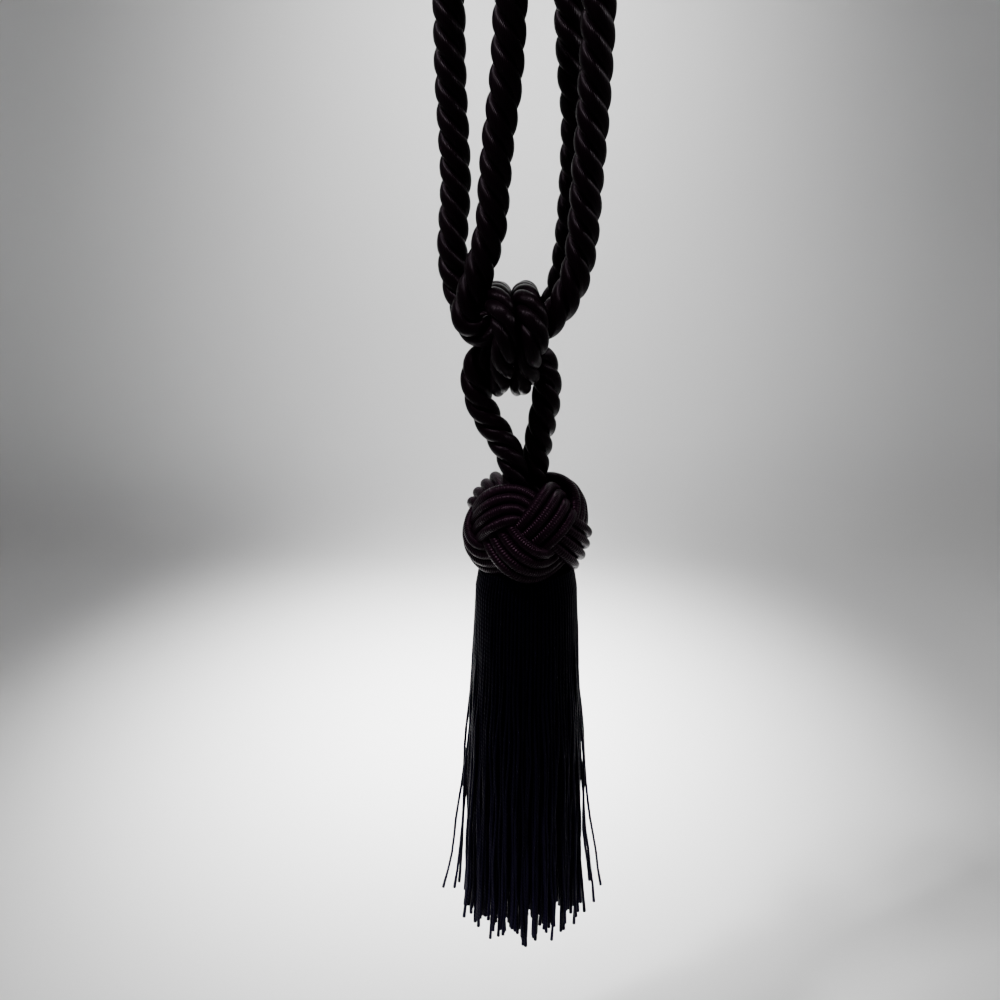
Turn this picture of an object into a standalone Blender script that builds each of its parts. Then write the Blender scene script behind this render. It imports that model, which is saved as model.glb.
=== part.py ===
"""Curtain tieback with a tassel, modelled as it hangs from its wall hook.

A ring of twisted rope is doubled so that each arm ends in a plain eye.  Its bend and a short
hanger loop are bound together by two turns of the same rope.  The loop goes down into a woven
ball, and a skirt of cut cords hangs under the ball.

Frame: metres, +Z up, +X to the right and -Y to the front.  The Z axis is the tassel's own axis,
and the origin is level with the inner top of the two eyes, where the hook bears.
"""
import math
import random

import bmesh
import bpy
from mathutils import Vector

MM = 0.001

# Driving dimensions.
ROPE_DIAMETER = 0.0130            # embrace rope and hanger loop, over the strands
ROPE_PITCH = 0.0287               # one whole turn of the three strands
BINDING_DIAMETER = 0.0117         # the same rope, pulled tight
BINDING_WIDTH = 0.74              # its turns' width where they pass between the loop's legs
BINDING_DEPTH = 1.06              # and their depth there, as shares of the diameter
GAP = 0.0003                      # between touching pieces

EYE_TOP_Z = ROPE_DIAMETER / 2     # centre line of the rope at the top of an eye
BEND_Z = -0.1360                  # embrace rope's lowest run, inside the binding
BEND_SPREAD = 0.0085              # that run's distance in front of and behind the axis

BALL_Z = -0.2259                  # centre of the woven ball
BALL_RADIUS = 0.0298              # over the upper cords
CORD_RADIUS = 0.00245             # the gimp cord that the ball is woven of
CORD_PITCH = 0.00470              # side by side in a band
CORD_PASSES = 4
LEADS = 3                         # a Turk's head knot, its band going round three times
BIGHTS = 5
WEAVE_MIDDLE = math.radians(11)   # latitude that the band swings about
WEAVE_SWING = math.radians(33)
WEAVE_START = math.radians(-15)
WEAVE_DEPTH = 0.00285             # the band's rise and fall over and under itself
BALL_FLAT = 0.0192                # from the ball's centre down to its flat underside
WELL_RADIUS = 0.0120              # hole in the ball's top that takes the loop's ends
WELL_FLOOR_Z = -0.2110
WELL_X = -0.0008
LEG_SQUEEZE = 0.88                # how far the loop's ends are pressed together in the hole
LEG_SQUEEZE_LENGTH = 0.020

SKIRT_TOP_Z = BALL_Z - BALL_FLAT - GAP
HEADING_DEPTH = 0.0030            # fused heading under the ball
HEADING_RADIUS = 0.0218
SKIRT_DEPTH = 0.1980              # from the heading's top to the level hem
STRAND_RADIUS = 0.00122           # to a corner of the three-sided strand

# A section of the rope: each strand is a lobe, an ellipse set off from the centre.  The sizes
# are shares of the rope's radius.
LOBE_OFFSET = 0.508
LOBE_DEPTH = 0.492
LOBE_WIDTH = 0.615
LOBE_ANGLES = (-60.0, -22.0, 22.0)
STRANDS_IN_ROPE = 3
STEPS_PER_PITCH = 9

# Routes of the ropes' centre lines, in mm: x, y, z.
LEFT_FRONT = (                    # from the left eye down to the bend
    (-8.5, -11.0, -17.6),
    (-10.0, -11.0, -43.6),
    (-12.9, -11.0, -64.1),
    (-14.5, -11.0, -81.0),
    (-15.8, -10.6, -95.5),
    (-19.3, -10.0, -108.5),
    (-22.4, -9.5, -117.9),
    (-24.9, -8.8, -124.8),
    (-25.6, -8.5, -132.0),
    (-21.2, -8.5, -136.2),
)
RIGHT_FRONT = (                   # from the bend up to the right eye
    (5.6, -8.5, -133.8),
    (9.8, -8.6, -129.8),
    (13.8, -8.9, -124.0),
    (17.2, -9.6, -116.5),
    (19.3, -10.3, -107.5),
    (20.4, -10.6, -97.0),
    (21.2, -11.5, -78.3),
    (22.4, -12.0, -57.2),
    (23.2, -13.0, -27.5),
    (23.2, -13.0, -17.9),
)
RIGHT_BACK = (                    # from the right eye down to the bend
    (14.5, 11.0, -13.7),
    (16.4, 11.0, -37.8),
    (18.2, 11.0, -53.9),
    (18.2, 11.0, -74.4),
    (17.3, 11.0, -93.7),
    (15.8, 10.2, -109.0),
    (14.2, 9.4, -117.4),
    (12.2, 8.8, -124.2),
    (9.4, 8.5, -130.0),
    (5.5, 8.5, -134.0),
)
LEFT_BACK = (                     # from the bend up to the left eye
    (-20.2, 8.5, -134.0),
    (-26.2, 8.6, -131.0),
    (-28.8, 8.9, -124.8),
    (-31.1, 9.2, -116.2),
    (-32.1, 9.7, -106.0),
    (-31.4, 10.2, -95.0),
    (-30.3, 11.0, -80.0),
    (-30.7, 11.0, -63.1),
    (-31.6, 11.0, -41.3),
    (-31.7, 11.0, -16.0),
)
HANGER_ROUTE = (                  # up the left leg, through the binding and down the right leg
    (-5.1, -3.95, -210.6),
    (-5.2, -4.0, -204.0),
    (-6.2, -4.0, -196.5),
    (-8.3, -3.0, -190.0),
    (-11.3, -1.7, -184.4),
    (-14.9, -0.7, -179.3),
    (-18.0, -0.2, -174.2),
    (-20.8, 0.0, -168.8),
    (-22.8, 0.0, -162.7),
    (-23.6, 0.0, -156.5),
    (-22.1, 0.0, -150.9),
    (-16.0, 0.0, -147.0),
    (-7.5, 0.0, -146.0),
    (0.0, 0.0, -146.4),
    (5.0, 0.0, -149.6),
    (7.3, 0.0, -155.8),
    (7.9, 0.0, -163.0),
    (7.3, 0.2, -169.7),
    (6.3, 0.9, -176.0),
    (5.2, 2.2, -183.0),
    (4.4, 3.6, -190.0),
    (3.8, 4.2, -197.0),
    (3.5, 4.0, -204.0),
    (3.5, 3.95, -210.6),
)

# The skirt's outer radius at depths under its heading's top, in mm.
SKIRT_PROFILE = (                 # depth, radius
    (0.0, 20.6),
    (3.0, 21.0),
    (9.0, 22.6),
    (25.0, 23.3),
    (50.0, 24.6),
    (73.0, 26.1),
    (96.0, 27.5),
    (120.0, 28.4),
    (165.0, 30.2),
    (205.0, 31.8),
)
STRAND_RINGS = (                  # radius at the heading in mm, strands in the ring
    (20.6, 45),
    (17.7, 38),
    (14.8, 32),
    (11.9, 26),
    (9.0, 19),
    (5.8, 12),
    (2.4, 5),
)
STRAND_ROOT = 0.0015              # depth of the roots, inside the heading
STRAND_BENDS = (0.009, 0.040, 0.085, 0.135)
STRAND_SIDES = 3
END_SPREAD = 0.0180               # how much shorter than the hem a strand may end
WANDER = 0.42                     # share of the room between strands that one may wander
SEED = 7
STRAYS = (                        # outer strands that stand away: angle in degrees, mm at the end
    (-93.0, 11.8),
    (-84.0, 6.4),
    (-101.0, 3.6),
    (-70.0, 2.8),
    (-60.0, 4.0),
    (90.0, 12.8),
    (82.0, 7.0),
    (99.0, 4.6),
    (66.0, 3.4),
    (55.0, 2.2),
    (150.0, 5.2),
    (-150.0, 4.4),
    (178.0, 3.0),
)


def remove_everything():
    """Empty the scene."""
    for old in list(bpy.data.objects):
        bpy.data.objects.remove(old)


def material(name, colour, roughness):
    """A Principled material of one plain colour."""
    made = bpy.data.materials.new(name)
    made.use_nodes = True
    shader = made.node_tree.nodes["Principled BSDF"]
    shader.inputs["Base Color"].default_value = (*colour, 1.0)
    shader.inputs["Roughness"].default_value = roughness
    shader.inputs["Metallic"].default_value = 0.0
    made.diffuse_color = (*colour, 1.0)
    return made


def add_object(name, mesh, finish):
    """Link a mesh as a named object with its material."""
    made = bpy.data.objects.new(name, mesh)
    bpy.context.collection.objects.link(made)
    mesh.materials.append(finish)
    return made


def in_metres(route):
    """A route given in mm as vectors in metres."""
    return [Vector(point) * MM for point in route]


def smooth_line(points, closed, per_span=12):
    """A centripetal Catmull-Rom curve through points, as a dense list of vectors."""
    count = len(points)
    spans = count if closed else count - 1
    line = []
    for i in range(spans):
        if closed:
            p = [points[(i + k) % count] for k in (-1, 0, 1, 2)]
        else:
            before = points[i - 1] if i else 2 * points[0] - points[1]
            after = points[i + 2] if i + 2 < count else 2 * points[-1] - points[-2]
            p = [before, points[i], points[i + 1], after]
        t = [0.0]
        for a, b in zip(p, p[1:]):
            t.append(t[-1] + math.sqrt((b - a).length))
        for k in range(per_span):
            u = t[1] + (t[2] - t[1]) * k / per_span
            a1 = p[0].lerp(p[1], (u - t[0]) / (t[1] - t[0]))
            a2 = p[1].lerp(p[2], (u - t[1]) / (t[2] - t[1]))
            a3 = p[2].lerp(p[3], (u - t[2]) / (t[3] - t[2]))
            b1 = a1.lerp(a2, (u - t[0]) / (t[2] - t[0]))
            b2 = a2.lerp(a3, (u - t[1]) / (t[3] - t[1]))
            line.append(b1.lerp(b2, (u - t[1]) / (t[2] - t[1])))
    if not closed:
        line.append(points[-1].copy())
    return line


def even_points(line, closed, count):
    """Count points spaced evenly along a line, and the line's length."""
    path = line + [line[0]] if closed else line
    reach = [0.0]
    for a, b in zip(path, path[1:]):
        reach.append(reach[-1] + (b - a).length)
    last = count if closed else count - 1
    points = []
    k = 0
    for i in range(count):
        goal = reach[-1] * i / last
        while k < len(path) - 2 and reach[k + 1] < goal:
            k += 1
        share = (goal - reach[k]) / (reach[k + 1] - reach[k])
        points.append(path[k].lerp(path[k + 1], share))
    return points, reach[-1]


def line_length(line, closed):
    """Length of a polyline."""
    pairs = zip(line, line[1:] + line[:1]) if closed else zip(line, line[1:])
    return sum((b - a).length for a, b in pairs)


def frames_along(points, closed):
    """A tangent and a side vector at each point, turning as little as it can."""
    count = len(points)
    tangents = []
    for i in range(count):
        before = points[i - 1] if closed or i else points[0]
        after = points[(i + 1) % count] if closed else points[min(i + 1, count - 1)]
        tangents.append((after - before).normalized())
    side = tangents[0].orthogonal().normalized()
    sides = [side]
    for i in range(1, count):
        turn = tangents[i - 1].rotation_difference(tangents[i])
        side = turn @ sides[-1]
        side = (side - tangents[i] * side.dot(tangents[i])).normalized()
        sides.append(side)
    slip = 0.0
    if closed:
        side = tangents[-1].rotation_difference(tangents[0]) @ sides[-1]
        slip = math.atan2(side.cross(sides[0]).dot(tangents[0]), side.dot(sides[0]))
    return tangents, sides, slip


def lobe_radius(angle):
    """Distance from the rope's centre to a strand's surface, at an angle from its crest."""
    x = math.cos(angle)
    y = math.sin(angle)
    a = (x / LOBE_DEPTH) ** 2 + (y / LOBE_WIDTH) ** 2
    b = -2.0 * x * LOBE_OFFSET / LOBE_DEPTH ** 2
    c = (LOBE_OFFSET / LOBE_DEPTH) ** 2 - 1.0
    return (-b + math.sqrt(b * b - 4.0 * a * c)) / (2.0 * a)


def rope_section():
    """Angle and radius of the section's corners, for a rope of radius 1."""
    corners = []
    for strand in range(STRANDS_IN_ROPE):
        for degrees in LOBE_ANGLES:
            angle = math.radians(degrees)
            crest = math.tau * strand / STRANDS_IN_ROPE
            corners.append((crest + angle, lobe_radius(angle)))
    return corners


def rope_mesh(name, line, closed, diameter, shares):
    """A twisted rope round a centre line; shares scale its section in x, y and z along it."""
    length = line_length(line, closed)
    turns = length / ROPE_PITCH
    if closed:
        turns = round(turns * STRANDS_IN_ROPE) / STRANDS_IN_ROPE
    count = round(turns * STEPS_PER_PITCH)
    points, length = even_points(line, closed, count)
    tangents, sides, slip = frames_along(points, closed)
    corners = rope_section()
    size = len(corners)
    bm = bmesh.new()
    rings = []
    for i, point in enumerate(points):
        along = i / count if closed else i / (count - 1)
        scale = Vector(shares(along)) * diameter / 2
        across = tangents[i].cross(sides[i])
        twist = slip * along - math.tau * turns * along
        ring = []
        for angle, reach in corners:
            a = angle + twist
            offset = sides[i] * math.cos(a) + across * math.sin(a)
            ring.append(bm.verts.new(point + offset * scale * reach))
        rings.append(ring)
    pairs = list(zip(rings, rings[1:]))
    for a, b in pairs:
        for k in range(size):
            n = (k + 1) % size
            bm.faces.new((a[k], a[n], b[n], b[k]))
    if closed:
        # The last ring meets the first one, some whole strands further round.
        shift = round(turns * STRANDS_IN_ROPE) % STRANDS_IN_ROPE * (size // STRANDS_IN_ROPE)
        first = rings[0]
        for k in range(size):
            n = (k + 1) % size
            bm.faces.new((rings[-1][k], rings[-1][n], first[(n - shift) % size],
                          first[(k - shift) % size]))
    else:
        bm.faces.new(list(reversed(rings[0])))
        bm.faces.new(rings[-1])
    return mesh_from(bm, name)


def mesh_from(bm, name):
    """Finish a bmesh: faces out, smooth but for its sharp edges."""
    bmesh.ops.recalc_face_normals(bm, faces=bm.faces)
    mesh = bpy.data.meshes.new(name)
    bm.to_mesh(mesh)
    bm.free()
    mesh.shade_smooth()
    mesh.set_sharp_from_angle(angle=math.radians(50))
    return mesh


def eye_bight(start, end, inner=5):
    """Points of the half circle that takes a strand over the hook, from start to end."""
    middle = (start + end) / 2
    half = (end - start) / 2
    half.z = 0.0
    radius = half.length
    centre = Vector((middle.x, middle.y, EYE_TOP_Z - radius))
    points = []
    for k in range(inner + 2):
        angle = math.pi * k / (inner + 1)
        points.append(centre - half * math.cos(angle) + Vector((0, 0, radius * math.sin(angle))))
    return points


def embrace_line():
    """The doubled ring: down the left front, up the right front, and back behind them."""
    left_front = in_metres(LEFT_FRONT)
    right_front = in_metres(RIGHT_FRONT)
    right_back = in_metres(RIGHT_BACK)
    left_back = in_metres(LEFT_BACK)
    middle_x = -0.0070
    ring = left_front
    ring += [Vector((middle_x - 0.006, -BEND_SPREAD, BEND_Z)),
             Vector((middle_x + 0.006, -BEND_SPREAD, BEND_Z))]
    ring += right_front + eye_bight(right_front[-1], right_back[0])
    ring += right_back
    ring += [Vector((middle_x + 0.006, BEND_SPREAD, BEND_Z)),
             Vector((middle_x - 0.006, BEND_SPREAD, BEND_Z))]
    ring += left_back + eye_bight(left_back[-1], left_front[0])
    return smooth_line(ring, closed=True)


# The binding's two turns: x at the top and the bottom of each in mm.  Behind the bundle they
# change sides, one over the other: the middle and half width of that place, in degrees up
# from the back.
TURN_TOP_X = (-12.0, -0.4)
TURN_BOTTOM_X = (-12.4, -3.6)
TURN_LEAN = (-0.8, 2.6)           # how far both lean over at the top and in front, in mm
CROSSING_MIDDLE = -18.0
CROSSING = 56.0


def binding_section(angle):
    """The binding's centre round the three ropes, its outward normal, width and depth.

    The angle runs from the back over the top and down the front.
    """
    normal = Vector((0.0, math.cos(angle), math.sin(angle)))
    low = max(0.0, -math.sin(angle)) ** 2
    width = 1.0 + (BINDING_WIDTH - 1.0) * low
    depth = 1.0 + (BINDING_DEPTH - 1.0) * low
    nestled = math.sqrt((ROPE_DIAMETER + GAP) ** 2 - BEND_SPREAD ** 2)
    cores = (Vector((0.0, BEND_SPREAD, BEND_Z)),
             Vector((0.0, -BEND_SPREAD, BEND_Z)),
             Vector((0.0, 0.0, BEND_Z - nestled)))
    core = max(cores, key=lambda c: c.dot(normal))
    reach = (ROPE_DIAMETER + BINDING_DIAMETER * depth) / 2 + GAP
    return core + normal * reach, normal, width, depth


def binding_turn(steps=144, step_length=0.0005):
    """One turn round the bundle at even steps, as rows of centre, normal, width and depth."""
    rows = [binding_section(math.tau * k / steps) for k in range(steps)]
    even = []
    for (p, n, w, d), (q, m, v, e) in zip(rows, rows[1:] + rows[:1]):
        pieces = max(1, round((q - p).length / step_length))
        for k in range(pieces):
            u = k / pieces
            even.append((p.lerp(q, u), n.lerp(m, u).normalized(),
                         w + (v - w) * u, d + (e - d) * u))
    return even


def binding_rows(per_turn=90):
    """Centre line, width and depth of both turns, a closed line that crosses itself once."""
    table = binding_turn()
    middle = CROSSING_MIDDLE / 360.0
    rows = []
    for turn in (0, 1):
        for k in range(per_turn):
            share = (k / per_turn + middle) % 1.0
            point, normal, width, depth = table[int(share * len(table))]
            low = max(0.0, -normal.z) ** 2
            xs = [top + (bottom - top) * low for top, bottom in zip(TURN_TOP_X, TURN_BOTTOM_X)]
            centre = sum(xs) / 2
            past = k / per_turn if k < per_turn / 2 else k / per_turn - 1.0
            lean = min(1.0, abs(past) * 360.0 / CROSSING) * math.pi / 2
            x = centre + (xs[turn] - centre) * math.sin(lean)
            x += TURN_LEAN[0] * max(0.0, normal.z) ** 2 + TURN_LEAN[1] * max(0.0, -normal.y) ** 2
            outside = (turn == 0) == (past >= 0)
            lift = (BINDING_DIAMETER + GAP) * math.cos(lean) if outside else 0.0
            rows.append((Vector((x * MM, 0, 0)) + point + normal * lift, width, depth))
    return rows


def build_embrace_rope(finish):
    """The doubled ring of rope."""
    mesh = rope_mesh("embrace_rope", embrace_line(), True, ROPE_DIAMETER, lambda along: (1, 1, 1))
    return add_object("embrace_rope", mesh, finish)


def build_hanger_loop(finish):
    """The loop that carries the tassel, pressed together where it enters the ball."""
    line = smooth_line(in_metres(HANGER_ROUTE), closed=False)
    reach = LEG_SQUEEZE_LENGTH / line_length(line, False)

    def shares(along):
        inside = max(0.0, 1.0 - min(along, 1.0 - along) / reach)
        share = 1.0 + (LEG_SQUEEZE - 1.0) * min(1.0, 1.6 * inside)
        return share, share, share

    mesh = rope_mesh("hanger_loop", line, False, ROPE_DIAMETER, shares)
    return add_object("hanger_loop", mesh, finish)


def build_binding(finish):
    """Two turns of rope round the embrace rope's bend and the hanger loop."""
    rows = binding_rows()

    def shares(along):
        _, width, depth = rows[round(along * len(rows)) % len(rows)]
        return width, depth, depth

    line = [point for point, _, _ in rows]
    mesh = rope_mesh("rope_binding", line, True, BINDING_DIAMETER, shares)
    return add_object("rope_binding", mesh, finish)


def weave_frame(turn):
    """Outward, side and height of the band's middle, at an angle of its whole course."""
    def outward(t):
        latitude = WEAVE_MIDDLE + WEAVE_SWING * math.cos(BIGHTS * t)
        azimuth = LEADS * t + WEAVE_START
        return Vector((math.cos(latitude) * math.sin(azimuth),
                       -math.cos(latitude) * math.cos(azimuth),
                       math.sin(latitude)))
    normal = outward(turn)
    ahead = (outward(turn + 0.001) - outward(turn - 0.001)).normalized()
    middle = BALL_RADIUS - CORD_RADIUS - WEAVE_DEPTH
    height = middle - WEAVE_DEPTH * math.sin(2 * BIGHTS * turn)
    return normal, normal.cross(ahead), height, middle


def band_mesh(name, start, end, steps=11, inner=0.013):
    """One over-pass of the band, a block with its cords raised on the outside."""
    corners = []
    for cord in range(CORD_PASSES):
        centre = (cord - (CORD_PASSES - 1) / 2) * CORD_PITCH
        for share in (-0.5, -0.22, 0.22):
            corners.append((centre + share * CORD_PITCH, share * CORD_PITCH))
    corners.append((CORD_PASSES / 2 * CORD_PITCH, CORD_PITCH / 2))
    bm = bmesh.new()
    rings = []
    for k in range(steps):
        normal, side, height, middle = weave_frame(start + (end - start) * k / (steps - 1))
        ring = []
        for offset, from_cord in corners:
            angle = offset / middle
            way = normal * math.cos(angle) + side * math.sin(angle)
            rise = math.sqrt(CORD_RADIUS ** 2 - from_cord ** 2)
            ring.append(bm.verts.new(way * (height + rise)))
        for offset, _ in (corners[-1], corners[0]):
            angle = offset / middle
            way = normal * math.cos(angle) + side * math.sin(angle)
            ring.append(bm.verts.new(way * inner))
        rings.append(ring)
    for a, b in zip(rings, rings[1:]):
        for k in range(len(a)):
            n = (k + 1) % len(a)
            bm.faces.new((a[k], a[n], b[n], b[k]))
    bm.faces.new(list(reversed(rings[0])))
    bm.faces.new(rings[-1])
    bmesh.ops.triangulate(bm, faces=bm.faces)
    bmesh.ops.translate(bm, verts=bm.verts, vec=(0, 0, BALL_Z))
    return mesh_from(bm, name)


def guide(obj):
    """Mark an object as a cutter or a guide, which is no piece of the tieback."""
    obj.hide_render = True
    obj.display_type = "WIRE"
    return obj


def add_boolean(obj, name, operation, other=None, collection=None):
    """Join or cut an object with another, or with a collection."""
    boolean = obj.modifiers.new(name, "BOOLEAN")
    boolean.operation = operation
    boolean.solver = "EXACT"
    if collection:
        boolean.operand_type = "COLLECTION"
        boolean.collection = collection
    else:
        boolean.object = other
    return boolean


def cylinder_mesh(name, radius, low, high, x=0.0, segments=32):
    """An upright cylinder."""
    bm = bmesh.new()
    bmesh.ops.create_cone(bm, cap_ends=True, segments=segments, radius1=radius,
                          radius2=radius, depth=high - low)
    bmesh.ops.translate(bm, verts=bm.verts, vec=(x, 0, (low + high) / 2))
    return mesh_from(bm, name)


def build_ball(finish):
    """The woven ball: a round core with ten over-passes of the band on it."""
    bm = bmesh.new()
    core_radius = BALL_RADIUS - CORD_RADIUS - WEAVE_DEPTH
    bmesh.ops.create_uvsphere(bm, u_segments=24, v_segments=14, radius=core_radius)
    bmesh.ops.translate(bm, verts=bm.verts, vec=(0, 0, BALL_Z))
    ball = add_object("turks_head", mesh_from(bm, "turks_head"), finish)
    bands = bpy.data.collections.new("bands")
    bpy.context.scene.collection.children.link(bands)
    for k in range(2 * BIGHTS):
        # Each over-pass reaches from the middle of one under-pass to the next.
        start = math.radians(50 + 180 * k) / BIGHTS
        end = math.radians(240 + 180 * k) / BIGHTS
        mesh = band_mesh(f"band_{k}", start, end)
        band = bpy.data.objects.new(f"band_{k}", mesh)
        bands.objects.link(band)
        guide(band)
    add_boolean(ball, "bands", "UNION", collection=bands)
    flat_z = BALL_Z - BALL_FLAT
    below = cylinder_mesh("below", 2 * BALL_RADIUS, flat_z - BALL_RADIUS, flat_z)
    add_boolean(ball, "flat", "DIFFERENCE", guide(add_object("below", below, finish)))
    well = cylinder_mesh("well", WELL_RADIUS, WELL_FLOOR_Z, BALL_Z + 2 * BALL_RADIUS, WELL_X)
    add_boolean(ball, "well", "DIFFERENCE", guide(add_object("well", well, finish)))
    return ball


def skirt_radius(depth):
    """The skirt's outer radius at a depth under its heading's top."""
    rows = [(d * MM, r * MM) for d, r in SKIRT_PROFILE]
    for (d0, r0), (d1, r1) in zip(rows, rows[1:]):
        if depth <= d1:
            return r0 + (r1 - r0) * (depth - d0) / (d1 - d0)
    return rows[-1][1]


def strand_lines():
    """Centre lines of the skirt's strands, each a list of points from root to end."""
    rng = random.Random(SEED)
    lines = []
    outer = STRAND_RINGS[0][0]
    for number, (ring_radius, count) in enumerate(STRAND_RINGS):
        for k in range(count):
            angle = math.tau * (k + 0.5 * (number % 2)) / count
            around = rng.uniform(-1, 1)
            outward = rng.uniform(-1, 1)
            end = SKIRT_DEPTH - END_SPREAD * rng.random() ** 0.6
            stray = 0.0
            if number == 0:
                for degrees, distance in STRAYS:
                    apart = (angle - math.radians(degrees) + math.pi) % math.tau - math.pi
                    if abs(apart) <= math.pi / count:
                        stray = distance * MM
            line = []
            for depth in (STRAND_ROOT, *STRAND_BENDS, end):
                radius = skirt_radius(depth) * ring_radius / outer
                room = math.tau * radius / count - 2 * STRAND_RADIUS
                wander = WANDER * max(0.0, room) * min(1.0, depth / SKIRT_DEPTH)
                radius += wander * outward + stray * (depth / SKIRT_DEPTH) ** 3
                turn = angle + wander * around / radius
                line.append(Vector((radius * math.sin(turn), -radius * math.cos(turn),
                                    SKIRT_TOP_Z - depth)))
            lines.append(line)
    return lines


def build_skirt(finish):
    """The fringe: strands that hang from a fused heading."""
    low = SKIRT_TOP_Z - HEADING_DEPTH
    heading = cylinder_mesh("skirt", HEADING_RADIUS, low, SKIRT_TOP_Z, segments=40)
    skirt = add_object("skirt", heading, finish)
    bm = bmesh.new()
    for line in strand_lines():
        rings = []
        for point in line:
            facing = math.atan2(point.y, point.x)
            ring = []
            for k in range(STRAND_SIDES):
                a = facing + math.tau * k / STRAND_SIDES
                offset = Vector((math.cos(a), math.sin(a), 0.0)) * STRAND_RADIUS
                ring.append(bm.verts.new(point + offset))
            rings.append(ring)
        for a, b in zip(rings, rings[1:]):
            for k in range(STRAND_SIDES):
                n = (k + 1) % STRAND_SIDES
                bm.faces.new((a[k], a[n], b[n], b[k]))
        bm.faces.new(list(reversed(rings[0])))
        bm.faces.new(rings[-1])
    strands = guide(add_object("strands", mesh_from(bm, "strands"), finish))
    add_boolean(skirt, "strands", "UNION", strands)
    return skirt


def main():
    remove_everything()
    rope = material("rope_viscose", (0.045, 0.012, 0.030), 0.45)
    gimp = material("gimp_cord", (0.060, 0.014, 0.042), 0.40)
    fringe = material("fringe_cord", (0.014, 0.009, 0.022), 0.55)
    build_embrace_rope(rope)
    build_hanger_loop(rope)
    build_binding(rope)
    build_ball(gimp)
    build_skirt(fringe)


main()
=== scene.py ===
"""Dresses a curtain tieback: twisted rope, a woven gimp ball and a skirt of cut cords."""
import math
import random

import bmesh
import bpy
import numpy as np
from bpy.props import FloatProperty, FloatVectorProperty, IntProperty, PointerProperty
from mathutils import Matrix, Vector


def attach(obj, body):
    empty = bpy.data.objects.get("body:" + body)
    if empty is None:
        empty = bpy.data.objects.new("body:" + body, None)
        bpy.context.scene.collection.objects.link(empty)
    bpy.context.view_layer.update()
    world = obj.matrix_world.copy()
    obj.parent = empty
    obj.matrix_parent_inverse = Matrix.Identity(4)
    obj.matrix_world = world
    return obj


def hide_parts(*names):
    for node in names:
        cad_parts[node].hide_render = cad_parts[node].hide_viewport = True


bl_info = {
    "name": "Tasselled curtain tieback",
    "version": (1, 0, 0),
    "blender": (4, 5, 0),
    "location": "3D View > Sidebar > Tieback",
    "description": "Twisted rope, woven ball and cord skirt of a curtain tieback",
    "category": "Object",
}

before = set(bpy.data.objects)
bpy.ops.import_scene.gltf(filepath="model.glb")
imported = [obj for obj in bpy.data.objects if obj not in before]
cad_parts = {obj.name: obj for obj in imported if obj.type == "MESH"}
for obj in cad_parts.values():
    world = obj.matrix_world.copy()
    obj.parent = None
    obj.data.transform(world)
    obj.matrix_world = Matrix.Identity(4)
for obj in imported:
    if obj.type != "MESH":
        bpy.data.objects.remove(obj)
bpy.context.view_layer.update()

MM = 0.001
UNIT = Vector((1.0, 1.0, 1.0))
BODY = "root"

# Places that the solids share, in metres.
GAP = 0.0003
EYE_TOP_Z = 0.0065
BEND_Z = -0.1360
BEND_SPREAD = 0.0085
BEND_X = -0.0070
BEND_REACH = 0.0060  # from a bend's middle to the points that shape it
BALL_Z = -0.2259
BALL_FLAT = 0.0192
WELL_FLOOR_Z = -0.2108
SKIRT_TOP_Z = BALL_Z - BALL_FLAT - GAP

# The rope's section: each of its three strands is an ellipse set off from the centre, in
# shares of the rope's radius.
LOBE_OFFSET = 0.508
LOBE_DEPTH = 0.492
LOBE_WIDTH = 0.615
STRANDS_IN_ROPE = 3
POINTS_ON_LOBE = 16
BINDING_WIDTH = 0.74
BINDING_DEPTH = 1.06
LEG_SQUEEZE = 0.88
LEG_SQUEEZE_LENGTH = 0.020

# Routes of the ropes' centre lines, in mm: x, y, z.
LEFT_FRONT = (  # from the left eye down to the bend
    (-8.5, -11.0, -17.6), (-10.0, -11.0, -43.6), (-12.9, -11.0, -64.1), (-14.5, -11.0, -81.0),
    (-15.8, -10.6, -95.5), (-19.3, -10.0, -108.5), (-22.4, -9.5, -117.9), (-24.9, -8.8, -124.8),
    (-25.6, -8.5, -132.0), (-21.2, -8.5, -136.2),
)
RIGHT_FRONT = (  # from the bend up to the right eye
    (5.6, -8.5, -133.8), (9.8, -8.6, -129.8), (13.8, -8.9, -124.0), (17.2, -9.6, -116.5),
    (19.3, -10.3, -107.5), (20.4, -10.6, -97.0), (21.2, -11.5, -78.3), (22.4, -12.0, -57.2),
    (23.2, -13.0, -27.5), (23.2, -13.0, -17.9),
)
RIGHT_BACK = (  # from the right eye down to the bend
    (14.5, 11.0, -13.7), (16.4, 11.0, -37.8), (18.2, 11.0, -53.9), (18.2, 11.0, -74.4),
    (17.3, 11.0, -93.7), (15.8, 10.2, -109.0), (14.2, 9.4, -117.4), (12.2, 8.8, -124.2),
    (9.4, 8.5, -130.0), (5.5, 8.5, -134.0),
)
LEFT_BACK = (  # from the bend up to the left eye
    (-20.2, 8.5, -134.0), (-26.2, 8.6, -131.0), (-28.8, 8.9, -124.8), (-31.1, 9.2, -116.2),
    (-32.1, 9.7, -106.0), (-31.4, 10.2, -95.0), (-30.3, 11.0, -80.0), (-30.7, 11.0, -63.1),
    (-31.6, 11.0, -41.3), (-31.7, 11.0, -16.0),
)
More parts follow.
